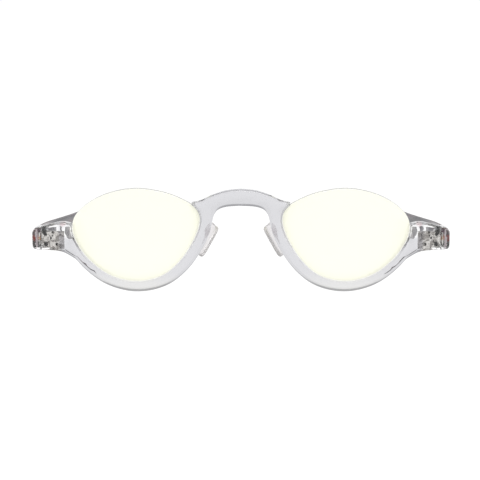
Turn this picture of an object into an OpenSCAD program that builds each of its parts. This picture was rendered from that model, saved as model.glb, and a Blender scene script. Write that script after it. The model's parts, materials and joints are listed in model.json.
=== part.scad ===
// Half-rim reading glasses: a clear one-piece front that grips each lens from below, two nose pads,
// and two temple arms on riveted hinges with a sprung slider inside each arm.
//
// Every piece is drawn in the front's own frame: X across the face, Y from the front face back towards
// the ears, Z up from the rims' lowest edge. table_attitude() then leans the whole assembly so that it
// stands on a table on its two rims and its two arm tips, with the origin under the middle of it.

/* [Lenses] */
// Width of each lens across its widest point
lens_width = 41.2; // [35:0.1:50]
// Height of each lens
lens_height = 30.6; // [24:0.1:38]
// Space between the two lenses
lens_gap = 26.2; // [20:0.1:32]
// Thickness at the middle of the lens
lens_thickness = 2.0; // [1.6:0.1:2.6]
// Radius of the lens's front surface
lens_front_radius = 110; // [90:1:160]
// Radius of the lens's back surface, flatter than the front so that the lens magnifies
lens_back_radius = 170; // [160:1:260]
// How far the lens's edge bead reaches into the rim
bead_reach = 0.6; // [0.3:0.05:0.9]
// Thickness of the edge bead
bead_thickness = 0.7; // [0.4:0.05:1]

/* [Front] */
// Thickness of the front from its face to its back
front_thickness = 3.8; // [3:0.1:5]
// Radius that the front is bent to, seen from above
wrap_radius = 250; // [180:5:400]
// Width of the rim at the bottom of the lens
rim_width = 3.1; // [2.6:0.1:4.5]
// Extra width of the rim beside the nose
nasal_extra = 0.7; // [0.2:0.1:1.2]
// Height of the bridge at its middle
bridge_height = 5; // [3.5:0.1:7]
// How far the bridge's top stands above the rims' lowest edge, less the lens's height
bridge_rise = 3.2; // [2:0.1:5]
// How far each end piece reaches out beyond its lens
end_reach = 13.2; // [11:0.1:17]
// Height of the end piece at its outer end
end_height = 6.4; // [5.6:0.1:8]
// How far the end piece's upper edge stands above the middle of the lens
end_rise = 3; // [1:0.1:6]
// Depth of the end piece from its face back to the arm
end_depth = 5.2; // [4.6:0.1:7]
// Rounding of the end piece's outer corner, seen from above
end_rounding = 1.2; // [0.6:0.1:3]

/* [Nose pads] */
// Height of each pad
pad_height = 12; // [8:0.1:14]
// How far each pad leans outwards on its way down, per millimetre
pad_splay = 0.53; // [0.2:0.01:0.7]
// How far each pad stands out behind the front
pad_depth = 4.2; // [2:0.1:6]
// Thickness of each pad
pad_thickness = 2.6; // [2:0.1:3.6]
// Gap between the pads at their closest
pad_gap = 14.2; // [12:0.1:18]

/* [Arms] */
// Length of each arm along its middle line
arm_length = 145; // [125:1:160]
// Length of the straight part, up to the bend over the ear
arm_straight = 100; // [80:1:110]
// Thickness of the arm at the hinge
arm_thickness = 3.2; // [2.9:0.1:4.4]
// Thickness of the arm at its tip
tip_thickness = 2.4; // [1.8:0.1:3.2]
// Height of the arm at its slimmest
arm_height = 4.2; // [3.4:0.1:5.2]
// Height of the arm's tip
tip_height = 6.2; // [5:0.1:8]
// Downward angle of the arm from the front
arm_drop_angle = 10; // [6:0.5:14]
// Further downward bend over the ear
ear_angle = 36; // [25:1:50]
// Radius of the bend over the ear
ear_radius = 34; // [20:1:50]
// How far the tip leans in towards the head
tip_inset = 11.5; // [4:0.5:18]

/* [Hinge] */
// Diameter of the hinge screw's shank
screw_d = 1.2; // [1:0.1:1.4]
// Diameter of the screw's head
screw_head_d = 2.0; // [1.8:0.1:2.4]
// Diameter of the knuckles
knuckle_d = 2.8; // [2.6:0.1:3.2]
// Height of the three knuckles together
knuckle_stack = 5.0; // [4.5:0.1:5.4]
// Height of the middle knuckle
middle_knuckle = 1.8; // [1.4:0.1:2.2]
// Width of the plate riveted to the front
plate_width = 4.6; // [4:0.1:5.5]
// Thickness of that plate
plate_thickness = 0.8; // [0.6:0.1:1]
// Height of that plate
plate_height = 5.6; // [5:0.1:6]
// Diameter of the rivets
rivet_d = 1.0; // [0.8:0.1:1.2]
// Length of the spring box let into the arm
box_length = 10; // [9.5:0.1:14]
// Height of the spring box
box_height = 4.2; // [3.4:0.1:4.6]
// Width of the spring box
box_width = 2.6; // [2.5:0.1:3]
// How deep the spring box is let into the arm
box_inlay = 0.8; // [0.5:0.1:1.2]
// Travel of the arm against its spring
spring_travel = 1; // [0.6:0.1:1.2]
// Wire of the spring
spring_wire = 0.3; // [0.2:0.02:0.34]
// Turns of the spring
spring_turns = 7; // [5:1:9]

/* [Fits] */
// Gap left all round a lens inside its groove
groove_clearance = 0.05; // [0.03:0.01:0.1]
// Radial gap between a turning or sliding piece and its hole
running_clearance = 0.03; // [0.01:0.01:0.06]
// Gap between faces that turn or slide past each other
face_clearance = 0.05; // [0.03:0.01:0.1]
// Open space left around the turning knuckle
knuckle_clearance = 0.3; // [0.2:0.05:0.5]

/* [Hidden] */

$fn = 48;
big = 400;                       // larger than the whole object
broad = 360;                     // facets round a wide curve in quick views
curve_steps = 6;                 // points along each stretch of a curve
LEFT = 1;                        // the wearer's left is towards +X
RIGHT = -1;

// Closed outline of a lens in half widths and half heights, from its outer side over the top.
LENS_SHAPE = [[1, 0.07], [0.95, 0.36], [0.74, 0.65], [0.41, 0.885], [0, 1], [-0.42, 0.94],
    [-0.74, 0.785], [-0.95, 0.59], [-1, 0.31], [-0.90, -0.08], [-0.68, -0.54], [-0.39, -0.87],
    [0, -1], [0.39, -0.90], [0.71, -0.61], [0.92, -0.25]];
// The rim's extra width at the same stations, as shares of nasal_extra.
RIM_SWELL = [0.6, 0.6, 0, 0, 0, 0, 1, 1, 1, 0.8, 0.6, 0.25, 0, -0.1, -0.15, 0.1];
nasal_tip = 39;                  // outline point where the rim ends beside the bridge
outer_tip = 98;                  // outline point where the rim ends at the end piece, one turn on
bridge_foot = 48;                // outline point where the bridge's underside meets the rim
end_foot = 85;                   // outline point where the end piece's underside meets the rim

rim_bottom_z = 0;
lens_z = rim_bottom_z + rim_width + lens_height / 2;
lens_x = (lens_gap + lens_width) / 2;
lens_outer_x = lens_x + lens_width / 2;
half_width = lens_outer_x + end_reach;
bridge_top = lens_height + bridge_rise;
end_top = lens_z + end_rise;

// The hinge: its pin stands on the joint face, just inside the arm.
arm_inner_x = half_width - arm_thickness;
pin_x = arm_inner_x - knuckle_d / 2 - face_clearance;
joint_y = face_y(pin_x) + end_depth;
pin_z = end_top - 3 - end_height / 2;
seat_y = joint_y - knuckle_d / 2 - knuckle_clearance;
seat_outer_x = arm_inner_x + knuckle_clearance / 2;
seat_inner_x = lens_outer_x + 2.2;
plate_x = pin_x - knuckle_d / 2 - 2 * face_clearance;
rivet_head_d = 1.6 * rivet_d;
rivet_spread = (plate_height - rivet_head_d) / 2 - 0.1;
rivet_inset = rivet_head_d / 2 + 0.4;
rivet_head = 0.35;
rivet_depth = 3;
screw_head = 0.5;

// The sprung slider, measured back from the pin along the arm.
shank_x = arm_inner_x + box_inlay - box_width / 2;
bore_d = box_width - 0.6;
box_front = knuckle_d / 2 + 1.1;
bush_length = 1.5;
nut_length = 1.2;
nut_d = bore_d - 0.2;
spring_d = bore_d - 0.1;
shank_d = spring_d - 2 * spring_wire - 0.1;
spring_start = box_front + bush_length;
box_end = box_front + box_length;
shank_end = box_end - 1 - spring_travel;
spring_end = shank_end - nut_length;
stud_d = 1.0;
stud_length = 1.3;
neck_height = middle_knuckle;

function face_y(x) = wrap_radius - sqrt(pow(wrap_radius, 2) - pow(x, 2));
function leaned(p) = [p[0] * cos(lean) - p[1] * sin(lean), p[0] * sin(lean) + p[1] * cos(lean)];

// One stretch of a smooth curve through p1 and p2.
function stretch(p0, p1, p2, p3, t) = 0.5 * (2 * p1 + (p2 - p0) * t
    + (2 * p0 - 5 * p1 + 4 * p2 - p3) * t * t + (3 * p1 - p0 - 3 * p2 + p3) * t * t * t);
function closed_curve(p, steps) = let (n = len(p)) [for (i = [0 : n - 1], k = [0 : steps - 1])
    stretch(p[(i + n - 1) % n], p[i], p[(i + 1) % n], p[(i + 2) % n], k / steps)];
function open_curve(p, steps) = let (n = len(p)) concat([for (i = [0 : n - 2], k = [0 : steps - 1])
    stretch(i > 0 ? p[i - 1] : 2 * p[0] - p[1], p[i], p[i + 1],
        i < n - 2 ? p[i + 2] : 2 * p[n - 1] - p[n - 2], k / steps)], [p[n - 1]]);
// A list's value at a place along it, in whole and part steps.
function along(list, x) = let (n = len(list), i = floor(x), f = x - i)
    list[i % n] * (1 - f) + list[(i + 1) % n] * f;

lens_outline = closed_curve([for (p = LENS_SHAPE)
    [lens_x + p[0] * lens_width / 2, lens_z + p[1] * lens_height / 2]], curve_steps);
outline_count = len(lens_outline);
function lens_point(i) = lens_outline[i % outline_count];
function lens_normal(i) = let (d = lens_point(i + 1) - lens_point(i + outline_count - 1))
    [d[1], -d[0]] / norm(d);
function lens_offset(i, gap) = lens_point(i) + lens_normal(i) * gap;
function rim_outer(i) = lens_offset(i, rim_width + nasal_extra * along(RIM_SWELL, i / curve_steps));

// Half of the front's outline, from the middle of the bridge's top round to the middle of its underside.
half_gap = lens_gap / 2;
underside = bridge_top - bridge_height;
bridge_top_edge = open_curve([[0, bridge_top], [0.38 * half_gap, bridge_top - 0.6],
    [0.73 * half_gap, bridge_top - 2.2], [0.97 * half_gap, bridge_top - 3.8],
    lens_point(nasal_tip) + [-0.2, 0.35]], curve_steps);
end_upper_edge = open_curve([lens_point(outer_tip) + [0.2, 0.1],
    [lens_outer_x + 0.3 * end_reach, end_top - 0.2],
    [lens_outer_x + 0.62 * end_reach, end_top - 1.2], [half_width - 1.4, end_top - 2.1]], curve_steps);
end_bottom = pin_z - end_height / 2 + 0.3;
end_outer_edge = open_curve([[half_width - 0.5, end_top - 2.7], [half_width, end_top - 3.8],
    [half_width, end_bottom + 0.9], [half_width - 0.4, end_bottom + 0.2]], 3);
end_lower_edge = open_curve([[half_width - 1.2, end_bottom], [lens_outer_x + 0.5 * end_reach, end_bottom],
    [lens_outer_x + 0.22 * end_reach, end_bottom - 0.4], rim_outer(end_foot + 2)], curve_steps);
under_bridge = open_curve([rim_outer(bridge_foot), [0.66 * half_gap, underside - 3.2],
    [0.56 * half_gap, underside - 1.3], [0.34 * half_gap, underside - 0.3], [0, underside]], curve_steps);
half_outline = concat(bridge_top_edge,
    [for (i = [nasal_tip : outer_tip]) lens_point(i)],
    end_upper_edge, end_outer_edge, end_lower_edge,
    [for (i = [end_foot : -1 : bridge_foot + 1]) rim_outer(i)],
    under_bridge);

// The arm's middle line seen from the side, as [back, up] from the pin, before the arm's own drop.
bend_length = ear_radius * ear_angle * PI / 180;
function arm_centre(s) = s <= arm_straight ? [s, 0]
    : s <= arm_straight + bend_length ?
        let (a = (s - arm_straight) / ear_radius * 180 / PI)
        [arm_straight + ear_radius * sin(a), -ear_radius * (1 - cos(a))]
    : [arm_straight + ear_radius * sin(ear_angle), -ear_radius * (1 - cos(ear_angle))]
        + (s - arm_straight - bend_length) * [cos(ear_angle), -sin(ear_angle)];
function arm_angle(s) = -min(max(s - arm_straight, 0) / ear_radius * 180 / PI, ear_angle);
// From the arm's own frame to the front's: down by the drop, about the pin.
function from_arm(p) = [joint_y + p[0] * cos(arm_drop_angle) + p[1] * sin(arm_drop_angle),
    pin_z - p[0] * sin(arm_drop_angle) + p[1] * cos(arm_drop_angle)];
// Height along the arm: full at the hinge, slimmer in the middle, deeper at the tip.
function ease(t) = let (c = min(max(t, 0), 1)) c * c * (3 - 2 * c);
function height_at(s) = end_height + (arm_height - end_height) * ease(s / (0.55 * arm_length))
    + (tip_height - arm_height) * ease((s - 0.6 * arm_length) / (0.3 * arm_length));

// The lean that sets the rims' front edge and the arms' tips on one level.
tip_point = from_arm(arm_centre(arm_length - tip_height / 2));
reach = [tip_point[0] - face_y(lens_x), tip_point[1] - rim_bottom_z];
lean = asin(tip_height / 2 / norm(reach)) + atan2(-reach[1], reach[0]);
lift = -leaned([face_y(lens_x), rim_bottom_z])[1];
front_most = leaned([0, bridge_top])[0];
back_most = leaned(tip_point)[0] + tip_height / 2;

module table_attitude() {
    translate([0, -(front_most + back_most) / 2, lift]) rotate([lean, 0, 0]) children();
}

// A piece drawn for the left side, or its mirror image for the right.
module on_side(side) {
    table_attitude() mirror([side == RIGHT ? 1 : 0, 0, 0]) children();
}

// An X-Z outline made as deep as the whole object, along Y.
module upright(depth = big) {
    translate([0, depth / 2, 0]) rotate([90, 0, 0]) linear_extrude(depth) children();
}

// The arm's frame, hinged at the pin and dropped by its own angle.
module in_arm() {
    translate([0, joint_y, pin_z]) rotate([-arm_drop_angle, 0, 0]) children();
}

// The space between two spheres, both seen from the lens's middle, depths measured from the front's face.
module lens_layer(front_depth, front_radius, back_depth, back_radius) {
    translate([lens_x, face_y(lens_x), lens_z]) rotate([0, 0, asin(lens_x / wrap_radius)])
        difference() {
            translate([0, front_depth + front_radius, 0]) sphere(front_radius, $fn = broad);
            translate([0, back_depth + back_radius, 0]) sphere(back_radius, $fn = broad);
        }
}

// A band that follows the lens's edge where the rim holds it.
module edge_band(inner, outer, from, to) {
    polygon(concat([for (i = [from : to]) lens_offset(i, inner)],
        [for (i = [to : -1 : from]) lens_offset(i, outer)]));
}

lens_vertex = 0.3;
bead_vertex = lens_vertex + 0.35;

module lens_groove() {
    intersection() {
        upright() edge_band(-1, bead_reach + groove_clearance, nasal_tip - 1, outer_tip + 1);
        lens_layer(bead_vertex - groove_clearance, lens_front_radius,
            bead_vertex + bead_thickness + groove_clearance, lens_front_radius);
    }
}

module lens(side) {
    color("ivory", 0.4) on_side(side) {
        intersection() {
            upright() polygon([for (i = [0 : outline_count - 1]) lens_offset(i, -groove_clearance)]);
            lens_layer(lens_vertex, lens_front_radius, lens_vertex + lens_thickness, lens_back_radius);
        }
        intersection() {
            upright() edge_band(-0.4, bead_reach, nasal_tip + 1, outer_tip - 1);
            lens_layer(bead_vertex, lens_front_radius, bead_vertex + bead_thickness, lens_front_radius);
        }
    }
}

// Where the front may be solid, seen from above: the bent sheet, and the thicker end piece on one side.
module end_plan() {
    polygon([[lens_outer_x - 1, face_y(lens_outer_x)], [half_width, face_y(lens_outer_x)],
        [half_width, joint_y], [seat_outer_x, joint_y], [seat_outer_x, seat_y], [seat_inner_x, seat_y],
        [lens_outer_x - 1, face_y(lens_outer_x) + front_thickness]]);
}

// The open space behind the seat, where the plate and the knuckles stand.
module hinge_seat() {
    translate([seat_inner_x, seat_y, -big / 2]) cube([seat_outer_x - seat_inner_x, big, big]);
    translate([seat_inner_x, joint_y, -big / 2]) cube(big);
}

module end_corner() {
    r = end_rounding;
    corner_y = face_y(half_width - r) + r;
    translate([half_width - r, corner_y, -big / 2]) difference() {
        translate([0, -big, 0]) cube([big, big, big]);
        cylinder(r = r, h = big);
    }
}

module both_sides() {
    for (side = [0, 1]) mirror([side, 0, 0]) children();
}

module front_frame() {
    color("gainsboro", 0.5) table_attitude() difference() {
        intersection() {
            upright() union() {
                polygon(concat(half_outline, [for (i = [len(half_outline) - 2 : -1 : 1])
                    [-half_outline[i][0], half_outline[i][1]]]));
            }
            translate([0, wrap_radius, -big / 2]) cylinder(r = wrap_radius, h = big, $fn = broad);
            union() {
                difference() {
                    translate([-big / 2, -big / 2, -big / 2]) cube(big);
                    translate([0, wrap_radius, -big / 2])
                    cylinder(r = wrap_radius - front_thickness, h = big, $fn = broad);
                }
                both_sides() translate([0, 0, -big / 2]) linear_extrude(big) end_plan();
            }
        }
        both_sides() {
            lens_groove();
            end_corner();
            hinge_seat();
            rivet_holes();
        }
    }
}

// The pad's corner balls, joined: two in the front's thickness and two standing out behind it.
module nose_pad(side) {
    r = pad_thickness / 2;
    drop = pad_height - pad_thickness;
    top = [pad_gap / 2 + r, lens_z + 1.8];
    low = top + [pad_splay * drop, -drop];
    back_y = front_thickness + pad_depth - r;
    color("gainsboro", 0.5) on_side(side) difference() {
        hull() {
            translate([top[0] + 0.9, front_thickness - 1.2, top[1] + 0.4]) sphere(r, $fn = 32);
            translate([top[0], front_thickness + 0.6, top[1]]) sphere(r, $fn = 32);
            translate([top[0] + 0.9, back_y, top[1] - 1.2]) sphere(r * 0.9, $fn = 32);
            translate([low[0], front_thickness - 0.9, low[1]]) sphere(r, $fn = 32);
            translate([low[0] + 0.9, back_y - 0.6, low[1] + 0.8]) sphere(r * 0.9, $fn = 32);
        }
        translate([0, wrap_radius, -big / 2]) difference() {
            cylinder(r = big + wrap_radius, h = big, $fn = broad);
            translate([0, 0, -1]) cylinder(r = wrap_radius - front_thickness, h = big + 2, $fn = broad);
        }
    }
}

module rivet_places() {
    for (z = [-1, 1]) translate([plate_x - rivet_inset - (z < 0 ? 1.2 : 0), seat_y, pin_z + z * rivet_spread])
        rotate([90, 0, 0]) children();
}

module rivet_holes() {
    rivet_places() translate([0, 0, -0.5]) cylinder(d = rivet_d, h = rivet_depth + 0.5);
}

module plate_rivets(side) {
    color("silver") on_side(side) rivet_places() {
        translate([0, 0, -plate_thickness]) cylinder(d = rivet_d, h = rivet_depth + plate_thickness);
        translate([0, 0, -plate_thickness - rivet_head]) cylinder(d = rivet_head_d, h = rivet_head);
    }
}

// The two outer knuckles' places along the pin.
module outer_knuckles() {
    knuckle = (knuckle_stack - middle_knuckle) / 2 - face_clearance;
    for (z = [knuckle_stack / 2 - knuckle, -knuckle_stack / 2])
        translate([pin_x, joint_y, pin_z + z]) children();
}

module hinge_plate(side) {
    knuckle = (knuckle_stack - middle_knuckle) / 2 - face_clearance;
    web = 1.1;
    color("silver") on_side(side) difference() {
        union() {
            translate([plate_x - plate_width, seat_y, pin_z - plate_height / 2])
                cube([plate_width, plate_thickness, plate_height]);
            outer_knuckles() {
                cylinder(d = knuckle_d, h = knuckle);
                translate([plate_x - pin_x - 0.3, -knuckle_d / 2, 0])
                    cube([pin_x - plate_x + 0.3, web, knuckle]);
            }
        }
        translate([pin_x, joint_y, pin_z - big / 2]) cylinder(d = screw_d + 2 * running_clearance, h = big);
        rivet_places() translate([0, 0, -big / 2]) cylinder(d = rivet_d, h = big);
    }
}

module hinge_screw(side) {
    slot = 0.35;
    color("silver") on_side(side) translate([pin_x, joint_y, pin_z - knuckle_stack / 2]) difference() {
        union() {
            cylinder(d = screw_d, h = knuckle_stack + face_clearance);
            translate([0, 0, knuckle_stack + face_clearance]) cylinder(d = screw_head_d, h = screw_head);
        }
        translate([-screw_head_d, -slot / 2, knuckle_stack + face_clearance + screw_head / 2])
            cube([2 * screw_head_d, slot, screw_head]);
    }
}

module slider(side) {
    color("silver") on_side(side) difference() {
        union() {
            translate([pin_x, joint_y, pin_z - middle_knuckle / 2])
                cylinder(d = knuckle_d, h = middle_knuckle);
            in_arm() {
                translate([pin_x + 0.3, 0.6, -neck_height / 2])
                    cube([shank_x - pin_x + shank_d / 2 - 0.3, box_front - 0.7, neck_height]);
                translate([shank_x, knuckle_d / 2, 0]) rotate([-90, 0, 0])
                    cylinder(d = shank_d, h = shank_end - knuckle_d / 2);
            }
        }
        translate([pin_x, joint_y, pin_z - big / 2]) cylinder(d = screw_d + 2 * running_clearance, h = big);
        for (z = [middle_knuckle / 2, -middle_knuckle / 2 - big])
            translate([-big / 2, joint_y + knuckle_d / 2 + face_clearance - big, pin_z + z]) cube(big);
    }
}

// A tube along the arm, about the slider's shank.
module on_shank(start, length) {
    in_arm() translate([shank_x, start, 0]) rotate([-90, 0, 0]) linear_extrude(length) children();
}

module slider_nut(side) {
    color("silver") on_side(side) on_shank(spring_end, nut_length) difference() {
        circle(d = nut_d);
        circle(d = shank_d);
    }
}

module guide_bush(side) {
    color("goldenrod") on_side(side) on_shank(box_front, bush_length) difference() {
        circle(d = bore_d);
        circle(d = shank_d + 2 * running_clearance);
    }
}

// A coil as one closed tube of round wire.
module coil(mean_radius, wire, turns, length) {
    sides = 8;
    steps = 14;
    rings = turns * steps;
    points = [for (i = [0 : rings], k = [0 : sides - 1])
        let (a = 360 * i / steps, b = 360 * k / sides, r = mean_radius + wire / 2 * cos(b))
        [r * cos(a), r * sin(a), wire / 2 + (length - wire) * i / rings + wire / 2 * sin(b)]];
    polyhedron(points, concat(
        [[for (k = [0 : sides - 1]) k]],
        [[for (k = [sides - 1 : -1 : 0]) rings * sides + k]],
        [for (i = [0 : rings - 1], k = [0 : sides - 1])
            [i * sides + k, (i + 1) * sides + k,
             (i + 1) * sides + (k + 1) % sides, i * sides + (k + 1) % sides]]));
}

module spring(side) {
    color("silver") on_side(side) in_arm() translate([shank_x, spring_start + face_clearance, 0])
        rotate([-90, 0, 0]) coil((spring_d - spring_wire) / 2, spring_wire, spring_turns,
            spring_end - spring_start - 2 * face_clearance);
}

module box_studs(length) {
    for (y = [box_front + 0.25 * box_length, box_end - 0.2 * box_length])
        in_arm() translate([shank_x + box_width / 2, y, 0])
            rotate([0, 90, 0]) cylinder(d = stud_d, h = length);
}

module spring_box(side) {
    color("silver") on_side(side) {
        difference() {
            union() {
                in_arm() translate([shank_x - box_width / 2, box_front, -box_height / 2])
                    cube([box_width, box_length, box_height]);
                box_studs(stud_length);
            }
            on_shank(box_front - 1, box_length - 0.8) circle(d = bore_d);
        }
    }
}

// The arm from the side, with a round end.
module arm_side() {
    steps = 40;
    tip = tip_height / 2;
    last = arm_length - tip;
    stations = concat([-4, 0], [for (i = [1 : steps]) last * i / steps]);
    centre = arm_centre(last);
    function edge(s, way) = let (a = arm_angle(s) + 90 * way)
        arm_centre(s) + height_at(s) / 2 * [cos(a), sin(a)];
    polygon(concat([for (s = stations) edge(s, -1)],
        [for (a = [-75 : 15 : 75]) centre + tip * [cos(a - ear_angle), sin(a - ear_angle)]],
        [for (i = [len(stations) - 1 : -1 : 0]) edge(stations[i], 1)]));
}

// The arm from above: straight at the hinge, then leaning in towards the head.
module arm_plan() {
    mid = half_width - arm_thickness / 2;
    middle = open_curve([[0, -6], [0, 22], [-0.05 * tip_inset, 0.36 * arm_length],
        [-0.34 * tip_inset, 0.62 * arm_length], [-tip_inset, 0.97 * arm_length]], 8);
    n = len(middle);
    function half(i) = (arm_thickness
        + (tip_thickness - arm_thickness) * ease(middle[i][1] / arm_length)) / 2;
    polygon(concat([for (i = [0 : n - 1]) [mid + middle[i][0] + half(i), middle[i][1]]],
        [for (i = [n - 1 : -1 : 0]) [mid + middle[i][0] - half(i), middle[i][1]]]));
}

module arm(side) {
    pocket_x = shank_x + box_width / 2;
    color("sienna") on_side(side) difference() {
        in_arm() intersection() {
            rotate([90, 0, 90]) linear_extrude(big / 2) arm_side();
            translate([0, 0, -big / 2]) linear_extrude(big) arm_plan();
        }
        translate([-big / 2, joint_y + face_clearance - big, -big / 2]) cube(big);
        in_arm() translate([pocket_x - big, -big / 2, -box_height / 2])
            cube([big, big / 2 + box_end, box_height]);
        box_studs(stud_length);
    }
}

front_frame();
lens(LEFT);  // left_lens
lens(RIGHT);  // right_lens
nose_pad(LEFT);  // left_nose_pad
nose_pad(RIGHT);  // right_nose_pad
hinge_plate(LEFT);  // left_hinge_plate
hinge_plate(RIGHT);  // right_hinge_plate
plate_rivets(LEFT);  // left_plate_rivets
plate_rivets(RIGHT);  // right_plate_rivets
hinge_screw(LEFT);  // left_hinge_screw
hinge_screw(RIGHT);  // right_hinge_screw
slider(LEFT);  // left_slider
slider(RIGHT);  // right_slider
slider_nut(LEFT);  // left_slider_nut
slider_nut(RIGHT);  // right_slider_nut
spring(LEFT);  // left_spring
spring(RIGHT);  // right_spring
guide_bush(LEFT);  // left_guide_bush
guide_bush(RIGHT);  // right_guide_bush
spring_box(LEFT);  // left_spring_box
spring_box(RIGHT);  // right_spring_box
arm(LEFT);  // left_arm
arm(RIGHT);  // right_arm
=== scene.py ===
import json
import math

import bmesh
import bpy
import numpy as np
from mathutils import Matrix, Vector
from mathutils.geometry import delaunay_2d_cdt


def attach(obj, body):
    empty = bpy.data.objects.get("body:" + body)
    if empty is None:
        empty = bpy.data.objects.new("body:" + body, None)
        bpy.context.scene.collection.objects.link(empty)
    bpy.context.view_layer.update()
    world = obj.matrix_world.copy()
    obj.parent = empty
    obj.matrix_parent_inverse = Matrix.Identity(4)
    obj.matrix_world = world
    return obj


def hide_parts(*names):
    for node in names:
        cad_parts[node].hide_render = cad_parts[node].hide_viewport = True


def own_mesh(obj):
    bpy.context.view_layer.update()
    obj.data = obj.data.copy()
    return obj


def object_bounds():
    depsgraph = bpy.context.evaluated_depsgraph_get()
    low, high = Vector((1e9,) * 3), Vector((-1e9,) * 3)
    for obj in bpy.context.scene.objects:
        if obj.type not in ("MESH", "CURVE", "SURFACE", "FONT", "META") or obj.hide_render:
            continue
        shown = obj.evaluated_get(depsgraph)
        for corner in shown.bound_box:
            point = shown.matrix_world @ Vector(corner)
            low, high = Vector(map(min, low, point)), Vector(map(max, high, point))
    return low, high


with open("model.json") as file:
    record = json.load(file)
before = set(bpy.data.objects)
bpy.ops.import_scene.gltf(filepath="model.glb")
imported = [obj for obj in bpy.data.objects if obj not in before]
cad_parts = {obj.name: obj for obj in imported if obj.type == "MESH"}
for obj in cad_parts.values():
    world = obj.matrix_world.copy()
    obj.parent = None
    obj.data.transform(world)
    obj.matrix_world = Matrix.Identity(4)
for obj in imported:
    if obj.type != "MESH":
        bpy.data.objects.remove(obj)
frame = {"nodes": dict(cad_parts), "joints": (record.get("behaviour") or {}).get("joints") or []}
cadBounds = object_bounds()
print("frame loaded:", len(frame["nodes"]), "nodes")


lensValues = {
    "width": 41.2, "height": 30.6, "gap": 26.2, "thickness": 2.0,
    "frontRadius": 110.0, "backRadius": 170.0, "vertex": 0.3,
    "edgeClearance": 0.05, "beadReach": 0.6, "beadStart": 0.35, "beadThickness": 0.7,
}
frontValues = {
    "thickness": 3.8, "wrapRadius": 250.0, "rimWidth": 3.1, "nasalExtra": 0.7,
    "bridgeHeight": 5.0, "bridgeRise": 3.2, "endReach": 13.2, "endHeight": 6.4, "endRise": 3.0,
    "endDepth": 5.2, "endRounding": 1.2, "nasalTip": 39, "outerTip": 98, "bridgeFoot": 48, "endFoot": 85,
    "pointSpacing": 0.36, "capSpacing": 1.3, "seatGap": 0.02,
}
padValues = {
    "depth": 4.2, "gap": 0.02, "pointSpacing": 0.3, "capSpacing": 0.8,
    "outline": [(9.4, 22.6), (8.2, 21.6), (7.15, 20.5), (8.0, 18.4), (9.7, 15.2), (11.1, 12.7),
                (12.3, 11.2), (13.4, 11.6), (13.2, 13.2), (12.2, 15.6), (11.3, 18.2), (10.8, 20.8)],
    "rearShift": (0.9, -0.3),
}
hingeValues = {
    "knuckle": 2.8, "faceClearance": 0.05, "knuckleClearance": 0.3,
    "boxInlay": 0.8, "boxWidth": 2.6, "boxHeight": 4.2, "boxLength": 10.0, "springTravel": 1.0,
}
armValues = {
    "length": 145.0, "straight": 100.0, "thickness": 3.2, "tipThickness": 2.4, "height": 4.2,
    "tipHeight": 6.2, "drop": 10.0, "earAngle": 36.0, "earRadius": 34.0, "tipInset": 11.5,
    "rings": 150, "cornerPoints": 6, "cornerRadius": 0.85, "buttBevel": 0.18,
}

lensX = (lensValues["gap"] + lensValues["width"]) / 2
lensZ = frontValues["rimWidth"] + lensValues["height"] / 2
lensOuterX = lensX + lensValues["width"] / 2
halfWidth = lensOuterX + frontValues["endReach"]
bridgeTop = lensValues["height"] + frontValues["bridgeRise"]
endTop = lensZ + frontValues["endRise"]
armInnerX = halfWidth - armValues["thickness"]
pinX = armInnerX - hingeValues["knuckle"] / 2 - hingeValues["faceClearance"]
pinZ = endTop - 3 - frontValues["endHeight"] / 2
endBottom = pinZ - frontValues["endHeight"] / 2 + 0.3


def faceY(x):
    radius = frontValues["wrapRadius"]
    return radius - math.sqrt(radius * radius - x * x)


jointY = faceY(pinX) + frontValues["endDepth"]
seatY = jointY - hingeValues["knuckle"] / 2 - hingeValues["knuckleClearance"]

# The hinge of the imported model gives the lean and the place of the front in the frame.
foldJoint = next(j for j in frame["joints"] if j["name"] == "left_fold")
leanAngle = math.atan2(-foldJoint["axis"][1], foldJoint["axis"][2])
leanCos, leanSin = math.cos(leanAngle), math.sin(leanAngle)
shiftY = foldJoint["pos_m"][1] * 1000 - (jointY * leanCos - pinZ * leanSin)
shiftZ = foldJoint["pos_m"][2] * 1000 - (jointY * leanSin + pinZ * leanCos)


def place(x, y, z):
    # from the front's own frame in millimetres to the row's frame in metres
    return Vector((x, y * leanCos - z * leanSin + shiftY, y * leanSin + z * leanCos + shiftZ)) / 1000


def stretch(p0, p1, p2, p3, t):
    # one stretch of a smooth curve that passes through p1 and p2
    return tuple(0.5 * (2 * b + (c - a) * t + (2 * a - 5 * b + 4 * c - d) * t * t
                        + (3 * b - a - 3 * c + d) * t ** 3)
                 for a, b, c, d in zip(p0, p1, p2, p3))


def closedCurve(points, steps):
    n = len(points)
    return [stretch(points[i - 1], points[i], points[(i + 1) % n], points[(i + 2) % n], k / steps)
            for i in range(n) for k in range(steps)]


def openCurve(points, steps):
    first = tuple(2 * a - b for a, b in zip(points[0], points[1]))
    last = tuple(2 * a - b for a, b in zip(points[-1], points[-2]))
    full = [first, *points, last]
    curve = [stretch(full[i], full[i + 1], full[i + 2], full[i + 3], k / steps)
             for i in range(len(points) - 1) for k in range(steps)]
    return curve + [tuple(points[-1])]


def evenly(points, spacing, closed=True):
    # points of any dimension at even steps along the line; distance is taken over the first two numbers
    data = np.array(points, float)
    if closed:
        data = np.vstack([data, data[:1]])
    steps = np.linalg.norm(np.diff(data[:, :2], axis=0), axis=1)
    keep = np.concatenate([[True], steps > 1e-9])
    data, steps = data[keep], steps[steps > 1e-9]
    travelled = np.concatenate([[0], np.cumsum(steps)])
    count = max(8, round(travelled[-1] / spacing))
    stops = np.linspace(0, travelled[-1], count + 1)[:-1 if closed else None]
    return np.stack([np.interp(stops, travelled, data[:, k]) for k in range(data.shape[1])], 1)


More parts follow.
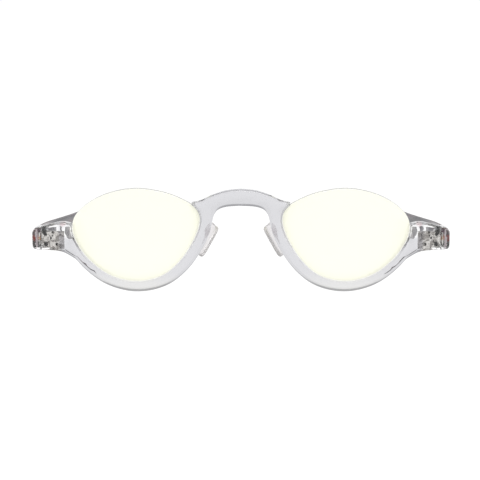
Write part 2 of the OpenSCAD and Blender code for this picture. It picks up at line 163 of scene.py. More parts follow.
def softened(data, rounds, closed=True):
    # takes the sharpness off corners so that a rounded edge can follow them
    out = np.array(data, float)
    for _ in range(rounds):
        out = 0.5 * out + 0.25 * (np.roll(out, 1, 0) + np.roll(out, -1, 0))
    return out


def inwardNormals(flat):
    tangent = np.roll(flat, -1, 0) - np.roll(flat, 1, 0)
    normal = np.stack([-tangent[:, 1], tangent[:, 0]], 1)
    normal /= np.linalg.norm(normal, axis=1)[:, None]
    x, y = flat[:, 0], flat[:, 1]
    area = np.sum(x * np.roll(y, -1) - np.roll(x, -1) * y)
    return normal if area > 0 else -normal


def insideOf(points, flat):
    x, y = points[:, 0][:, None], points[:, 1][:, None]
    x1, y1 = flat[:, 0][None], flat[:, 1][None]
    x2, y2 = np.roll(flat[:, 0], -1)[None], np.roll(flat[:, 1], -1)[None]
    crosses = ((y1 > y) != (y2 > y)) & (x < (x2 - x1) * (y - y1) / np.where(y2 == y1, 1e-12, y2 - y1) + x1)
    return crosses.sum(1) % 2 == 1


def ease(t):
    c = min(max(t, 0.0), 1.0)
    return c * c * (3 - 2 * c)


def finishMesh(name, work, sharpAngle=40):
    # smooth shading, with edges left crisp above an angle
    bmesh.ops.recalc_face_normals(work, faces=work.faces[:])
    for face in work.faces:
        face.smooth = True
    for edge in work.edges:
        if len(edge.link_faces) == 2 and edge.calc_face_angle(0) > math.radians(sharpAngle):
            edge.smooth = False
    mesh = bpy.data.meshes.new(name)
    work.to_mesh(mesh)
    work.free()
    piece = bpy.data.objects.new(name, mesh)
    bpy.context.scene.collection.objects.link(piece)
    return piece


def capRing(work, ring, flat, depth, spacing, extra=()):
    # closes an outline with a triangle grid that keeps clear of its edge
    low, high = flat.min(0), flat.max(0)
    rows = np.arange(low[1], high[1], spacing * 0.87)
    grid = np.array([(x + (row % 2) * spacing / 2, y) for row, y in enumerate(rows)
                     for x in np.arange(low[0], high[0], spacing)] + list(extra))
    grid = grid[insideOf(grid, flat)]
    gaps = np.array([np.min(np.sum((flat - p) ** 2, 1)) for p in grid]) if len(grid) else np.zeros(0)
    grid = grid[gaps > (0.6 * spacing) ** 2] if len(grid) else grid
    points = [Vector(p) for p in flat] + [Vector(p) for p in grid]
    n = len(flat)
    made = delaunay_2d_cdt(points, [(i, (i + 1) % n) for i in range(n)], [], 1, 1e-7)
    verts = []
    for spot, sources in zip(made[0], made[3]):
        known = [s for s in sources if s < n]
        inner = None if known else work.verts.new(place(spot.x, depth(spot.x, spot.y), spot.y))
        verts.append(ring[known[0]] if known else inner)
    for face in made[2]:
        corners = [verts[i] for i in face]
        if len(set(corners)) == 3 and not work.faces.get(corners):
            work.faces.new(corners)


def slab(name, flat, sections, spacing, extra=(), sharpAngle=40):
    # a piece with a flat outline: each section is an inset for every outline point and a depth at any place
    work = bmesh.new()
    normals = inwardNormals(flat)
    rings, shapes = [], []
    for inset, depth in sections:
        shape = flat + normals * np.asarray(inset)[:, None]
        rings.append([work.verts.new(place(x, depth(x, z), z)) for x, z in shape])
        shapes.append(shape)
    n = len(flat)
    for near, far in zip(rings, rings[1:]):
        for i in range(n):
            j = (i + 1) % n
            work.faces.new((near[i], near[j], far[j], far[i]))
    capRing(work, rings[0], shapes[0], sections[0][1], spacing, extra)
    capRing(work, rings[-1], shapes[-1], sections[-1][1], spacing, extra)
    return finishMesh(name, work, sharpAngle)


def mirrored(points):
    return [(-p[0], *p[1:]) for p in reversed(points)]


# outline of a lens in half widths and half heights, from its outer side over the top
lensShape = [(1, 0.07), (0.95, 0.36), (0.74, 0.65), (0.41, 0.885), (0, 1), (-0.42, 0.94), (-0.74, 0.785),
             (-0.95, 0.59), (-1, 0.31), (-0.90, -0.08), (-0.68, -0.54), (-0.39, -0.87), (0, -1),
             (0.39, -0.90), (0.71, -0.61), (0.92, -0.25)]
# how much wider the rim is at the same stations, as shares of nasalExtra
rimSwell = [0.6, 0.6, 0, 0, 0, 0, 1, 1, 1, 0.8, 0.6, 0.25, 0, -0.1, -0.15, 0.1]
curveSteps = 6
lensOutline = closedCurve([(lensX + a * lensValues["width"] / 2, lensZ + b * lensValues["height"] / 2)
                           for a, b in lensShape], curveSteps)


def lensPoint(i):
    return lensOutline[i % len(lensOutline)]


def lensOffset(i, gap):
    after, before = lensPoint(i + 1), lensPoint(i - 1)
    dx, dz = after[0] - before[0], after[1] - before[1]
    size = math.hypot(dx, dz)
    x, z = lensPoint(i)
    return x + dz / size * gap, z - dx / size * gap


def rimOuter(i):
    spot = i / curveSteps
    low = math.floor(spot)
    part = spot - low
    swell = rimSwell[low % 16] * (1 - part) + rimSwell[(low + 1) % 16] * part
    return lensOffset(i, frontValues["rimWidth"] + frontValues["nasalExtra"] * swell)


def frontOutline():
    # x, z, and a share that is 1 along the lens
    half = lensValues["gap"] / 2
    under = bridgeTop - frontValues["bridgeHeight"]
    reach, steps = frontValues["endReach"], curveSteps
    tipIn, tipOut = frontValues["nasalTip"], frontValues["outerTip"]
    foot, endFoot = frontValues["bridgeFoot"], frontValues["endFoot"]
    inner, outer = lensPoint(tipIn), lensPoint(tipOut)
    free = openCurve([(0, bridgeTop), (0.38 * half, bridgeTop - 0.6), (0.73 * half, bridgeTop - 2.2),
                      (0.97 * half, bridgeTop - 3.8), (inner[0] - 0.2, inner[1] + 0.35)], steps)
    points = [(x, z, 0) for x, z in free]
    points += [(*lensPoint(i), 1) for i in range(tipIn, tipOut + 1)]
    points += [(x, z, 0) for x, z in openCurve([(outer[0] + 0.2, outer[1] + 0.1),
               (lensOuterX + 0.3 * reach, endTop - 0.2), (lensOuterX + 0.62 * reach, endTop - 1.2),
               (halfWidth - 1.4, endTop - 2.1)], steps)]
    points += [(x, z, 0) for x, z in openCurve([(halfWidth - 0.5, endTop - 2.7), (halfWidth, endTop - 3.8),
               (halfWidth, endBottom + 0.9), (halfWidth - 0.4, endBottom + 0.2)], 3)]
    points += [(x, z, 0) for x, z in openCurve([(halfWidth - 1.2, endBottom),
               (lensOuterX + 0.5 * reach, endBottom), (lensOuterX + 0.22 * reach, endBottom - 0.4),
               rimOuter(endFoot + 2)], steps)]
    points += [(*rimOuter(i), 0) for i in range(endFoot, foot, -1)]
    points += [(x, z, 0) for x, z in openCurve([rimOuter(foot), (0.66 * half, under - 3.2),
               (0.56 * half, under - 1.3), (0.34 * half, under - 0.3), (0, under)], steps)]
    return points + mirrored(points)[1:-1]


def frontFaceY(x):
    # the bent face, turning the outer corner at each end
    x = abs(x)
    rounding = frontValues["endRounding"]
    start = halfWidth - rounding
    if x <= start:
        return faceY(x)
    across = min(x - start, rounding * 0.999)
    return faceY(start) + rounding - math.sqrt(rounding * rounding - across * across)


def frontBackY(x):
    x = abs(x)
    sheet = faceY(min(x, halfWidth)) + frontValues["thickness"]
    rampStart, rampEnd = lensOuterX - 1, lensOuterX + 2.2
    seat = seatY - frontValues["seatGap"]
    stepStart = armInnerX + hingeValues["knuckleClearance"] / 2
    if x <= rampStart:
        return sheet
    if x <= rampEnd:
        base = faceY(rampStart) + frontValues["thickness"]
        return base + (seat - base) * (x - rampStart) / (rampEnd - rampStart)
    if x <= stepStart:
        return seat
    return seat + (jointY - seat) * min(1, (x - stepStart) / 0.12)


def frontDepth(depth):
    full = frontValues["thickness"]

    def at(x, z):
        face, back = frontFaceY(x), frontBackY(x)
        thick = back - face
        if thick < full:
            return face + depth * thick / full
        return face + depth if depth <= 2.6 else back - (full - depth)
    return at


# Depth and inset of each ring of the front: where an edge is free, and where it grips a lens.
freeEdge = [(0.0, 0.80), (0.09, 0.46), (0.30, 0.16), (0.66, 0.0), (1.50, 0.0), (1.60, 0.0), (1.63, 0.0),
            (2.37, 0.0), (2.40, 0.0), (2.52, 0.0), (3.20, 0.0), (3.55, 0.12), (3.74, 0.36), (3.8, 0.70)]
lensEdge = [(0.0, 0.34), (0.03, 0.18), (0.12, 0.05), (0.30, 0.0), (1.50, 0.0), (1.60, 0.04), (1.63, 0.64),
            (2.37, 0.64), (2.40, 0.04), (2.52, 0.0), (3.45, 0.0), (3.68, 0.05), (3.77, 0.17), (3.8, 0.32)]


def makeFront():
    data = softened(evenly(frontOutline(), frontValues["pointSpacing"]), 3)
    flat, share = data[:, :2], data[:, 2]
    crisp = np.interp(np.abs(flat[:, 0]), (60, 64), (1, 0.4))
    sections = []
    for (freeDepth, freeInset), (lensDepth, lensInset) in zip(freeEdge, lensEdge):
        inset = (freeInset * (1 - share) + lensInset * share) * crisp
        sections.append((inset, frontDepth((freeDepth + lensDepth) / 2)))
    # grid points close on both sides of the step in the back keep that step straight
    stepX = armInnerX + hingeValues["knuckleClearance"] / 2
    columns = [(side * (stepX + off), endBottom + k * 0.4) for side in (-1, 1) for off in (-0.02, 0.14)
               for k in range(24)]
    return slab("clearFront", flat, sections, frontValues["capSpacing"], columns)


def makePad(side):
    wide = padValues["depth"]
    points = closedCurve([(side * x, z) for x, z in padValues["outline"]], 6)
    flat = softened(evenly(points, padValues["pointSpacing"]), 2)
    shift = np.array([side * padValues["rearShift"][0], padValues["rearShift"][1]])
    base = faceY(9.5) + frontValues["thickness"] + padValues["gap"]
    profile = [(0.0, 0.10), (0.08, 0.0), (0.30 * wide, 0.0), (0.60 * wide, 0.05), (0.80 * wide, 0.22),
               (0.92 * wide, 0.55), (0.98 * wide, 0.95), (wide, 1.25)]
    work = bmesh.new()
    normals = inwardNormals(flat)
    rings, shapes, levels = [], [], []
    for depth, inset in profile:
        shape = flat + normals * inset + shift * (depth / wide)
        level = (lambda x, z, y=base + depth: y)
        rings.append([work.verts.new(place(x, level(x, z), z)) for x, z in shape])
        shapes.append(shape)
        levels.append(level)
    n = len(flat)
    for near, far in zip(rings, rings[1:]):
        for i in range(n):
            j = (i + 1) % n
            work.faces.new((near[i], near[j], far[j], far[i]))
    capRing(work, rings[0], shapes[0], levels[0], padValues["capSpacing"])
    capRing(work, rings[-1], shapes[-1], levels[-1], padValues["capSpacing"])
    return finishMesh("leftNosePad" if side > 0 else "rightNosePad", work, 50)


def lensSurface(side, depth, radius):
    turn = math.asin(lensX / frontValues["wrapRadius"])
    centreX = side * (lensX - (depth + radius) * math.sin(turn))
    centreY = faceY(lensX) + (depth + radius) * math.cos(turn)

    def at(x, z):
        return centreY - math.sqrt(radius * radius - (x - centreX) ** 2 - (z - lensZ) ** 2)
    return at


def makeLens(side):
    v = lensValues
    tipIn, tipOut, count = frontValues["nasalTip"] + 1, frontValues["outerTip"] - 1, len(lensOutline)
    held = [1 if tipIn <= i <= tipOut or i + count <= tipOut else 0 for i in range(count)]
    points = [(side * x, z, held[i]) for i, (x, z) in enumerate(lensOutline)]
    if side < 0:
        points.reverse()
    data = evenly(points, 0.4)
    flat, share = data[:, :2], np.round(data[:, 2])
    front = lensSurface(side, v["vertex"], v["frontRadius"])
    back = lensSurface(side, v["vertex"] + v["thickness"], v["backRadius"])
    beadFront = lensSurface(side, v["vertex"] + v["beadStart"], v["frontRadius"])
    beadBack = lensSurface(side, v["vertex"] + v["beadStart"] + v["beadThickness"], v["frontRadius"])
    gap = np.full(len(flat), v["edgeClearance"])

    def between(part):
        return lambda x, z: front(x, z) * (1 - part) + back(x, z) * part

    def bead(low):
        surface = beadFront if low else beadBack
        return lambda x, z: min(max(surface(x, z), front(x, z) + 0.15), back(x, z) - 0.12)
    reach = -v["beadReach"] * share + gap * (1 - share)
    sections = [(gap + 0.16, front), (gap + 0.05, between(0.05)), (gap, between(0.12)), (gap, bead(True)),
                (reach, bead(True)), (reach, bead(False)), (gap, bead(False)), (gap, between(0.9)),
                (gap + 0.05, between(0.96)), (gap + 0.14, back)]
    lens = slab("leftLens" if side > 0 else "rightLens", flat, sections, 1.6, sharpAngle=32)
    edge = lens.data.attributes.new("edge", "FLOAT", "POINT")
    ringOf = [min(i // len(flat), len(sections)) for i in range(len(lens.data.vertices))]
    along = [share[i % len(flat)] for i in range(len(ringOf))]
    edge.data.foreach_set("value", [1.0 - 0.5 * held if 0 < ring < len(sections) - 1 else 0.0
                                    for ring, held in zip(ringOf, along)])
    return lens


def armCentre(s):
    v = armValues
    ear, radius = math.radians(v["earAngle"]), v["earRadius"]
    bend = radius * ear
    if s <= v["straight"]:
        return s, 0.0, 0.0
    if s <= v["straight"] + bend:
        a = (s - v["straight"]) / radius
        return v["straight"] + radius * math.sin(a), -radius * (1 - math.cos(a)), -a
    rest = s - v["straight"] - bend
    return (v["straight"] + radius * math.sin(ear) + rest * math.cos(ear),
            -radius * (1 - math.cos(ear)) - rest * math.sin(ear), -ear)


def armHeight(s):
    v = armValues
    part = s / v["length"]
    slim = frontValues["endHeight"] + (v["height"] - frontValues["endHeight"]) * ease(part / 0.55)
    return slim + (v["tipHeight"] - v["height"]) * ease((part - 0.6) / 0.3)


def armBend(along, inward):
    return along * armValues["length"], -inward * armValues["tipInset"]


armPlan = openCurve([(-6, 0), (22, 0), armBend(0.36, 0.05), armBend(0.62, 0.34), armBend(0.97, 1)], 8)
armPlanS = [p[0] for p in armPlan]
armPlanX = [p[1] for p in armPlan]


def armPoint(side, x, s, up):
    # from across, along and up in the arm's frame
    drop = math.radians(armValues["drop"])
    return place(side * x, jointY + s * math.cos(drop) + up * math.sin(drop),
                 pinZ - s * math.sin(drop) + up * math.cos(drop))


def armSection(halfThick, halfHigh, corner):
    corner = min(corner, halfThick * 0.98, halfHigh * 0.98)
    n = armValues["cornerPoints"]
    points = []
    for quarter in range(4):
        cx = (halfThick - corner) * (1, -1, -1, 1)[quarter]
        cz = (halfHigh - corner) * (1, 1, -1, -1)[quarter]
        for k in range(n + 1):
            a = math.radians(90 * (quarter + k / n))
            points.append((cx + corner * math.cos(a), cz + corner * math.sin(a)))
    return points


def makeArm(side):
    v = armValues
    drop = math.radians(v["drop"])
    middle = halfWidth - v["thickness"] / 2
    last = v["length"] - v["tipHeight"] / 2 - 0.02
    work = bmesh.new()
    rings = []
    stations = [(0.0, v["buttBevel"]), (0.0, 0.0)]
    stations += [(3 + (last - 3) * k / v["rings"], 0.0) for k in range(v["rings"] + 1)]
    tip = v["tipHeight"] / 2
    stations += [(last + tip * math.sin(a), tip * (1 - math.cos(a)))
                 for a in [math.radians(9 * k) for k in range(1, 10)]]
    for number, (s, inset) in enumerate(stations):
        along, up, angle = armCentre(min(s, last))
        along += max(0, s - last) * math.cos(angle)
        up += max(0, s - last) * math.sin(angle)
        thick = v["thickness"] + (v["tipThickness"] - v["thickness"]) * ease(s / v["length"])
        high = armHeight(min(s, last)) / 2 - inset
        halfThick = thick / 2 - (inset if number == 0 else inset * 0.3)
        ring = []
        for across, height in armSection(halfThick, max(high, 0.25), v["cornerRadius"]):
            h, w = along - height * math.sin(angle), up + height * math.cos(angle)
            if number < 2:  # the butt stands parallel to the end piece
                clear = hingeValues["faceClearance"] + number * v["buttBevel"]
                h = (clear - w * math.sin(drop)) / math.cos(drop)
            x = middle + np.interp(h, armPlanS, armPlanX) + across
            ring.append(work.verts.new(armPoint(side, x, h, w)))
        rings.append(ring)
    n = len(rings[0])
    for near, far in zip(rings, rings[1:]):
        for i in range(n):
            j = (i + 1) % n
            work.faces.new((near[i], near[j], far[j], far[i]))
    work.faces.new(rings[0])
    work.faces.new(rings[-1])
    return finishMesh("leftArm" if side > 0 else "rightArm", work, 35)


def boxMesh(name, corners):
    work = bmesh.new()
    verts = [work.verts.new(c) for c in corners]
    for face in ((0, 1, 3, 2), (4, 6, 7, 5), (0, 4, 5, 1), (2, 3, 7, 6), (0, 2, 6, 4), (1, 5, 7, 3)):
        work.faces.new([verts[i] for i in face])
    return finishMesh(name, work)


def cutPocket(piece, side):
    v = hingeValues
    outer = armInnerX + v["boxInlay"]
    end = v["knuckle"] / 2 + 1.1 + v["boxLength"]
    half = v["boxHeight"] / 2
    cutter = boxMesh("pocketCutter", [armPoint(side, x, s, up) for x in (armInnerX - 4, outer)
                                      for s in (-3, end) for up in (-half, half)])
    step = piece.modifiers.new("pocket", "BOOLEAN")
    step.operation, step.solver, step.object = "DIFFERENCE", "EXACT", cutter
    bpy.context.view_layer.update()
    cut = bpy.data.meshes.new_from_object(piece.evaluated_get(bpy.context.evaluated_depsgraph_get()))
    piece.modifiers.clear()
    piece.data = cut
    bpy.data.objects.remove(cutter)
    return piece


class Wire:
    # a socket that sums and products can be written with
    def __init__(self, graph, socket):
        self.graph, self.socket = graph, socket

    def calc(self, operation, a, b):
        return self.graph.add("ShaderNodeMath", {"operation": operation}, {0: a, 1: b})

    def __add__(self, other):
        return self.calc("ADD", self, other)

    def __radd__(self, other):
        return self.calc("ADD", other, self)

    def __sub__(self, other):
        return self.calc("SUBTRACT", self, other)

    def __rsub__(self, other):
        return self.calc("SUBTRACT", other, self)

    def __mul__(self, other):
        return self.calc("MULTIPLY", self, other)

    def __rmul__(self, other):
        return self.calc("MULTIPLY", other, self)

    def __truediv__(self, other):
        return self.calc("DIVIDE", self, other)

    def __rtruediv__(self, other):
        return self.calc("DIVIDE", other, self)

    def __pow__(self, other):
        return self.calc("POWER", self, other)

    def __gt__(self, other):
        return self.calc("GREATER_THAN", self, other)

    def __lt__(self, other):
        return self.calc("LESS_THAN", self, other)


class Graph:
    # the nodes of one material, with a method for each kind that is used often
    def __init__(self, name, tree=None):
        self.material = None
        if tree is None:
            self.material = bpy.data.materials.new(name)
            self.material.use_nodes = True
            tree = self.material.node_tree
        self.tree = tree
        self.tree.nodes.clear()

    def add(self, kind, settings=None, values=None, out=0):
        node = self.tree.nodes.new(kind)
        for key, value in (settings or {}).items():
            if key == "stops":
                ramp = node.color_ramp
                while len(ramp.elements) < len(value):
                    ramp.elements.new(0.5)
                for element, (position, colour) in zip(ramp.elements, value):
                    element.position, element.color = position, colour
            else:
                setattr(node, key, value)
        for key, value in (values or {}).items():
            socket = node.inputs[key]
            if isinstance(value, Wire):
                self.tree.links.new(value.socket, socket)
            else:
                socket.default_value = value
        return Wire(self, node.outputs[out] if len(node.outputs) else None)

    def colourMix(self, share, a, b, blend="MIX"):
        settings = {"data_type": "RGBA", "blend_type": blend}
        return self.add("ShaderNodeMix", settings, {0: share, 6: a, 7: b}, 2)

    def noise(self, coordinates, scale, detail=3, rough=0.5, distortion=0.0):
        return self.add("ShaderNodeTexNoise", None, {"Vector": coordinates, "Scale": scale, "Detail": detail,
                                                      "Roughness": rough, "Distortion": distortion})

    def spot(self, where, centre, reach, soft=0.45):
        # 1 inside an oval seen from the front, at the same place on both sides
        apart = self.add("ShaderNodeVectorMath", {"operation": "ABSOLUTE"}, {0: where})
        apart = self.add("ShaderNodeVectorMath", {"operation": "SUBTRACT"},
                         {0: apart, 1: (centre[0] / 1000, 0, centre[1] / 1000)})
        apart = self.add("ShaderNodeVectorMath", {"operation": "MULTIPLY"},
                         {0: apart, 1: (1000 / reach[0], 0, 1000 / reach[1])})
        distance = self.add("ShaderNodeVectorMath", {"operation": "LENGTH"}, {0: apart}, 1)
        return self.fade(distance, 1 - soft, 1 + soft)

    def bump(self, height, strength, distance):
        values = {"Height": height, "Strength": strength, "Distance": distance}
        return self.add("ShaderNodeBump", None, values)

    def fade(self, value, start, end, soft=True):
        # 1 up to start, 0 from end on
        settings = {"interpolation_type": "SMOOTHSTEP" if soft else "LINEAR"}
        values = {"Value": value, "From Min": start, "From Max": end, "To Min": 1.0, "To Max": 0.0}
        return self.add("ShaderNodeMapRange", settings, values)

    def rise(self, value, start, end):
        # 0 up to start, 1 from end on
        settings = {"interpolation_type": "SMOOTHSTEP"}
        return self.add("ShaderNodeMapRange", settings, {"Value": value, "From Min": start, "From Max": end})

    def size(self, value):
        return self.add("ShaderNodeMath", {"operation": "ABSOLUTE"}, {0: value})

    def attribute(self, name):
        return self.add("ShaderNodeAttribute", {"attribute_name": name}, None, 2)

    def objectPlace(self):
        return self.add("ShaderNodeTexCoord", None, None, 3)

    def scaled(self, where, scale):
        return self.add("ShaderNodeMapping", None, {"Vector": where, "Scale": scale})

    def ramp(self, value, stops):
        # stops are a position and a screen colour from 0 to 255
        linear = [(position, rgb(*colour)) for position, colour in stops]
        return self.add("ShaderNodeValToRGB", {"stops": linear}, {"Fac": value})

    def surface(self, values):
        shader = self.add("ShaderNodeBsdfPrincipled", None, values)
        self.add("ShaderNodeOutputMaterial", None, {"Surface": shader})
        return self.material


def rgb(r, g, b):
    # from 0..255 screen values to linear
    linear = [((c / 255 + 0.055) / 1.055) ** 2.4 if c > 10 else c / 255 / 12.92 for c in (r, g, b)]
    return (*linear, 1.0)


clearLook = {
    "low": (0.74, 0.737, 0.732, 1), "high": (0.675, 0.675, 0.698, 1), "turnAt": (0.0015, 0.0075),
    "overHinge": (0.93, 0.93, 0.93, 1), "hingeAt": (0.0578, 0.0592),
    "besideHinge": (0.98, 0.98, 0.98, 1), "blush": (0.80, 0.56, 0.57, 1), "paintedShadeOverPad": (0.58, 0.56, 0.58, 1),
    "roughness": 0.02, "ior": 1.46,
}


def clearPlastic():
    g = Graph("clearPlastic")
    look = clearLook
    where = g.objectPlace()
    height = g.add("ShaderNodeSeparateXYZ", None, {"Vector": where}, 2)
    across = g.size(g.add("ShaderNodeSeparateXYZ", None, {"Vector": where}, 0))
    cloud = g.noise(where, 90, 2)
    ripple = g.noise(where, 200, 2)
    raised = g.rise(height + (cloud - 0.5) * 0.004, *look["turnAt"])
    tint = g.colourMix(raised, look["low"], look["high"])
    tint = g.colourMix(g.rise(across, *look["hingeAt"]), tint, look["overHinge"])
    besideHinge = g.spot(where, (55.8, 19.4), (1.8, 1.9)) - g.spot(where, (55.4, 18.9), (0.35, 1.1))
    tint = g.colourMix(besideHinge, tint, look["besideHinge"])
    tint = g.colourMix(g.spot(where, (57.3, 21.9), (1.0, 0.8)) * 0.8, tint, look["blush"])
    # painted shade: a grey spot on the clear front where the nose pad meets the rim behind it
    paintedShadeAtPad = g.add("ShaderNodeMath", {"operation": "MAXIMUM"},
                    {0: g.spot(where, (10.3, 19.9), (1.5, 0.7)), 1: g.spot(where, (10.7, 18.6), (0.8, 1.1))})
    tint = g.colourMix(paintedShadeAtPad * 0.45, tint, look["paintedShadeOverPad"])
    return g.surface({"Base Color": tint, "Roughness": look["roughness"], "IOR": look["ior"],
                      "Transmission Weight": 1.0, "Normal": g.bump(ripple, 0.2, 0.0002)})


lensLook = {
    "tints": ((0.75, 0.75, 0.665, 1), (0.76, 0.76, 0.675, 1)), "heldEdgeHighlight": (0.80, 0.80, 0.78, 1),
    "glow": (0.31, 0.31, 0.262, 1), "heldGlow": (0.40, 0.40, 0.39, 1), "bareGlow": (0.02, 0.02, 0.02, 1),
    "roughness": 0.03, "ior": 1.5, "clearness": 0.2,
}


def lensPlastic():
    # the attribute edge is 1 on a bare edge, half in the groove and 0 on the two faces
    g = Graph("lensPlastic")
    look = lensLook
    edge = g.attribute("edge")
    tint = g.colourMix(g.noise(g.objectPlace(), 18, 1), *look["tints"])
    heldEdge, bareEdge = edge > 0.25, edge > 0.75
    # painted light: the whole lens glows, and the edge held in the groove gets a lighter tint and a stronger
    # glow as a painted highlight; the bare edge hardly glows
    tint = g.colourMix(heldEdge, tint, look["heldEdgeHighlight"])
    glow = g.colourMix(heldEdge, look["glow"], look["heldGlow"])
    glow = g.colourMix(bareEdge, glow, look["bareGlow"])
    return g.surface({"Base Color": tint, "Roughness": look["roughness"], "IOR": look["ior"],
                      "Transmission Weight": look["clearness"],
                      "Emission Color": glow, "Emission Strength": 1.0})


padLook = {
    "tints": ((0.74, 0.72, 0.725, 1), (0.86, 0.84, 0.845, 1)), "roughness": 0.3, "ior": 1.2, "shine": 0.2,
}


def padPlastic():
    g = Graph("padPlastic")
    look = padLook
    cloud = g.noise(g.objectPlace(), 240, 2)
    return g.surface({"Base Color": g.colourMix(cloud, *look["tints"]), "Roughness": look["roughness"],
                      "IOR": look["ior"], "Transmission Weight": 1.0, "Specular IOR Level": look["shine"],
                      "Normal": g.bump(cloud, 0.1, 0.0002)})


armLook = {
    "brown": [(0.32, (40, 34, 35)), (0.44, (72, 60, 63)), (0.56, (96, 80, 86)), (0.70, (128, 90, 76))],
    "smoke": [(0.30, (84, 83, 86)), (0.5, (106, 105, 109)), (0.62, (122, 114, 118)), (0.74, (150, 134, 138))],
    "pale": [(0.35, (160, 158, 158)), (0.5, (186, 184, 183)), (0.65, (208, 206, 205))],
    "red": (150, 44, 30), "ash": (62, 60, 57), "plum": (84, 58, 72), "orange": (190, 104, 72),
    "paintedGapShade": (14, 10, 10), "line": (226, 214, 218), "shine": 0.12, "ior": 1.49,
}


def armPlastic():
    # a mottled brown outer layer over a smoky one, paler near the hinge, with patches of colour and a black
    # spot of painted shade at the butt
    g = Graph("armPlastic")
    look = armLook
    where = g.objectPlace()
    mark, along = g.attribute("layer"), g.attribute("along")
    fine = g.noise(where, 520, 3, 0.6)
    brown = g.ramp(g.noise(where, 190, 4, 0.55, 0.6), look["brown"])
    nearButt = g.fade(along, 0.001, 0.006)
    brown = g.colourMix(g.spot(where, (66.6, 17.3), (1.3, 1.0)) * nearButt, brown, rgb(*look["red"]))
    brown = g.colourMix(g.spot(where, (66.8, 14.6), (1.3, 1.6)) * nearButt * 0.8, brown, rgb(*look["ash"]))
    streak = g.noise(g.scaled(where, (3.0, 0.25, 3.0)), 120, 3, 0.5, 0.4)
    nearHinge = g.fade(along + (streak - 0.5) * 0.02, 0.010, 0.046)
    smoke = g.colourMix(nearHinge, g.ramp(streak, look["smoke"]), g.ramp(streak, look["pale"]))
    atButt = along < 0.002
    # plum and orange are the butt's own colours; the black spot is painted shade in the hinge gap
    for colour, centre, reach in (("plum", (65.2, 19.6), (0.8, 1.0)), ("orange", (64.9, 17.5), (0.8, 0.9)),
                                  ("paintedGapShade", (65.0, 15.7), (0.4, 0.8))):
        smoke = g.colourMix(g.spot(where, centre, reach) * atButt, smoke, rgb(*look[colour]))
    outerShare = g.rise(mark + (fine - 0.5) * 0.12, 0.04, 0.10)
    line = g.fade(g.size(mark + 0.10), 0.14, 0.22, soft=False) * (along < 0.004)
    inner = g.colourMix(line, smoke, rgb(*look["line"]))
    return g.surface({"Base Color": g.colourMix(outerShare, inner, brown), "Roughness": 0.30 + fine * 0.08,
                      "IOR": look["ior"], "Specular IOR Level": look["shine"],
                      "Normal": g.bump(fine, 0.06, 0.0001)})


def metal(name, low, high, rough, paintedShadeSpots=()):
    g = Graph(name)
    where = g.objectPlace()
    grain = g.noise(g.scaled(where, (1.0, 1.0, 4.0)), 500, 2)
    wear = g.noise(where, 480, 1, 0.4, 1.2)
    colour = g.colourMix(g.rise(wear, 0.42, 0.56), rgb(*low), rgb(*high))
    # painted shade: each spot mixes a near-black colour into the metal
    for centre, reach in paintedShadeSpots:
        colour = g.colourMix(g.spot(where, centre, reach, 0.3), colour, (0.008, 0.008, 0.007, 1))
    return g.surface({"Base Color": colour, "Metallic": 1.0,
                      "Roughness": rough + (grain - 0.5) * 0.2, "Normal": g.bump(wear, 0.25, 0.0001)})


# Painted shade: near-black spots on the hinge metal where its recesses fall into shade: across and height in
# millimetres, and how far each reaches.
hingeShadeSpots = [((63.3, 19.4), (0.8, 1.0)), ((62.9, 18.5), (0.6, 0.5)), ((62.8, 15.4), (0.7, 0.8)),
              ((61.1, 17.4), (0.3, 0.4)), ((60.6, 18.1), (0.25, 0.3)), ((59.3, 15.4), (0.35, 0.5)),
              ((60.5, 19.3), (0.35, 0.35))]
materials = {
    "clear": clearPlastic(), "lens": lensPlastic(), "pad": padPlastic(), "arm": armPlastic(),
    "hinge": metal("nickelSilver", (150, 146, 142), (218, 215, 211), 0.24, hingeShadeSpots),
    "screw": metal("brightSteel", (120, 118, 118), (225, 225, 226), 0.2, hingeShadeSpots),
    "spring": metal("springSteel", (96, 96, 100), (140, 140, 146), 0.32),
    "bush": metal("bushBrass", (150, 118, 62), (196, 160, 96), 0.3),
}
print("materials made")


def dress(piece, key):
    piece.data.materials.clear()
    piece.data.materials.append(materials[key])


def layerMarks(piece, side):
    # layer: how far a point lies towards the arm's outer side, from -1 to 1; along: metres from the butt
    v = armValues
    drop = math.radians(v["drop"])
    middle = halfWidth - v["thickness"] / 2
    layers, runs = [], []
    for vertex in piece.data.vertices:
        x, y, z = vertex.co * 1000
        y, z = y - shiftY, z - shiftZ
        localY, localZ = y * leanCos + z * leanSin, -y * leanSin + z * leanCos
        s = (localY - jointY) * math.cos(drop) - (localZ - pinZ) * math.sin(drop)
        thick = v["thickness"] + (v["tipThickness"] - v["thickness"]) * ease(s / v["length"])
        runs.append(s / 1000)
        layers.append((side * x - middle - np.interp(s, armPlanS, armPlanX)) / thick * 2)
    for name, values in (("layer", layers), ("along", runs)):
        piece.data.attributes.new(name, "FLOAT", "POINT").data.foreach_set("value", values)


def makeCoil(word, side):
    # the spring gets shorter when its arm is pushed past open; here its mesh is copied into a piece of its
    # own, hung on its arm
    coil = bpy.data.objects.new(word + "Coil", frame["nodes"][word + "_spring"].data.copy())
    bpy.context.scene.collection.objects.link(coil)
    dress(coil, "spring")
    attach(coil, word + "_arm_body")
    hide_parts(word + "_spring")
    axis = (armPoint(side, pinX, 10, 0) - armPoint(side, pinX, 0, 0)).normalized()
    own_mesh(coil)


nodeMaterials = {
    "hinge": ("hinge_plate", "plate_rivets", "slider", "slider_nut", "spring_box"), "screw": ("hinge_screw",),
    "bush": ("guide_bush",), "spring": ("spring",), "lens": ("lens",), "pad": ("nose_pad",), "arm": ("arm",),
}

front = makeFront()
dress(front, "clear")
dress(frame["nodes"]["front_frame"], "clear")
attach(front, "front")
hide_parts("front_frame")
print("front made:", len(front.data.polygons), "faces")

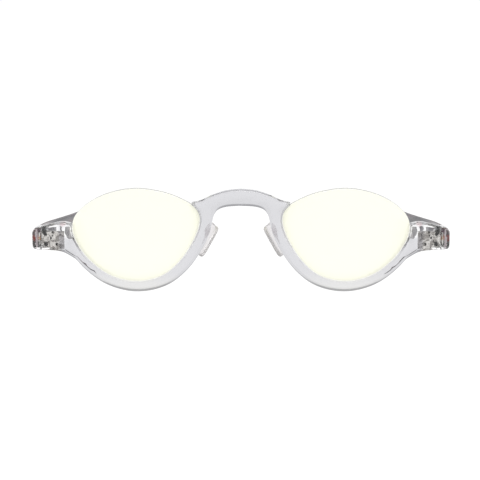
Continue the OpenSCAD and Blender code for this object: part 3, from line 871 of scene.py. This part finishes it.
for side, word in ((1, "left"), (-1, "right")):
    pad = makePad(side)
    dress(pad, "pad")
    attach(pad, "front")
    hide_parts(word + "_nose_pad")
    lens = makeLens(side)
    dress(lens, "lens")
    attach(lens, "front")
    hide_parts(word + "_lens")
    arm = cutPocket(makeArm(side), side)
    layerMarks(arm, side)
    dress(arm, "arm")
    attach(arm, word + "_arm_body")
    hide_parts(word + "_arm")
    makeCoil(word, side)
    for key, nodes in nodeMaterials.items():
        for node in nodes:
            dress(frame["nodes"][word + "_" + node], key)
print("pads, lenses, arms and hinges made")


studioValues = {
    "floorSize": 6.0, "floorTints": ((0.12, 0.12, 0.12, 1), (0.14, 0.14, 0.14, 1)), "floorGlow": 0.98,
    "horizon": (1.02, 1.02, 1.02, 1), "overhead": (0.50, 0.50, 0.51, 1), "fadeHeights": (0.12, 0.34),
    "softboxes": {"overheadSoftbox": ((0.15, -0.25, 0.9), (0.7, 0.5), 3.0),
                  "sideSoftbox": ((-0.9, 0.1, 0.5), (0.4, 0.6), 1.2)},
    "distance": 0.65, "rise": 2.35, "aimHeight": 0.016, "lens": 154.0, "nudge": (-0.00032, 0.00103),
}


def makeFloor():
    half = studioValues["floorSize"] / 2
    work = bmesh.new()
    corners = ((-half, -half, 0), (half, -half, 0), (half, half, 0), (-half, half, 0))
    work.faces.new([work.verts.new(corner) for corner in corners])
    floor = finishMesh("paleFloor", work)
    g = Graph("paleFloor")
    grain = g.noise(g.objectPlace(), 40, 2)
    dressing = g.surface({"Base Color": g.colourMix(grain, *studioValues["floorTints"]),
                          "Roughness": 0.9, "Specular IOR Level": 0.0,
                          "Emission Color": (1, 1, 1, 1), "Emission Strength": studioValues["floorGlow"]})
    floor.data.materials.append(dressing)


def makeWorld():
    world = bpy.data.worlds.new("softStudio")
    bpy.context.scene.world = world
    world.use_nodes = True
    g = Graph("softStudio", world.node_tree)
    direction = g.add("ShaderNodeTexCoord", None, None, 0)
    height = g.add("ShaderNodeSeparateXYZ", None, {"Vector": direction}, 2)
    colour = g.colourMix(g.rise(height, *studioValues["fadeHeights"]),
                         studioValues["horizon"], studioValues["overhead"])
    shader = g.add("ShaderNodeBackground", None, {"Color": colour, "Strength": 1.0})
    g.add("ShaderNodeOutputWorld", None, {"Surface": shader})


def softbox(name, spot, size, power):
    data = bpy.data.lights.new(name, "AREA")
    data.shape, data.size, data.size_y, data.energy = "RECTANGLE", size[0], size[1], power
    lamp = bpy.data.objects.new(name, data)
    lamp.location = spot
    lamp.rotation_euler = (Vector((0, -0.03, 0.02)) - Vector(spot)).to_track_quat("-Z", "Y").to_euler()
    bpy.context.scene.collection.objects.link(lamp)


def makeCamera():
    data = bpy.data.cameras.new("studioCamera")
    data.sensor_width, data.lens = 36, studioValues["lens"]
    data.clip_start, data.clip_end = 0.05, 50
    camera = bpy.data.objects.new("studioCamera", data)
    rise = math.radians(studioValues["rise"])
    low, high = cadBounds
    aim = Vector((studioValues["nudge"][0], low[1], studioValues["aimHeight"] + studioValues["nudge"][1]))
    away = Vector((0, -math.cos(rise), math.sin(rise)))
    camera.location = aim + away * studioValues["distance"]
    camera.rotation_euler = (-away).to_track_quat("-Z", "Y").to_euler()
    bpy.context.scene.collection.objects.link(camera)
    bpy.context.scene.camera = camera


makeFloor()
makeWorld()
for name, (spot, size, power) in studioValues["softboxes"].items():
    softbox(name, spot, size, power)
makeCamera()
bpy.context.scene.view_settings.view_transform = "Standard"
print("studio made")
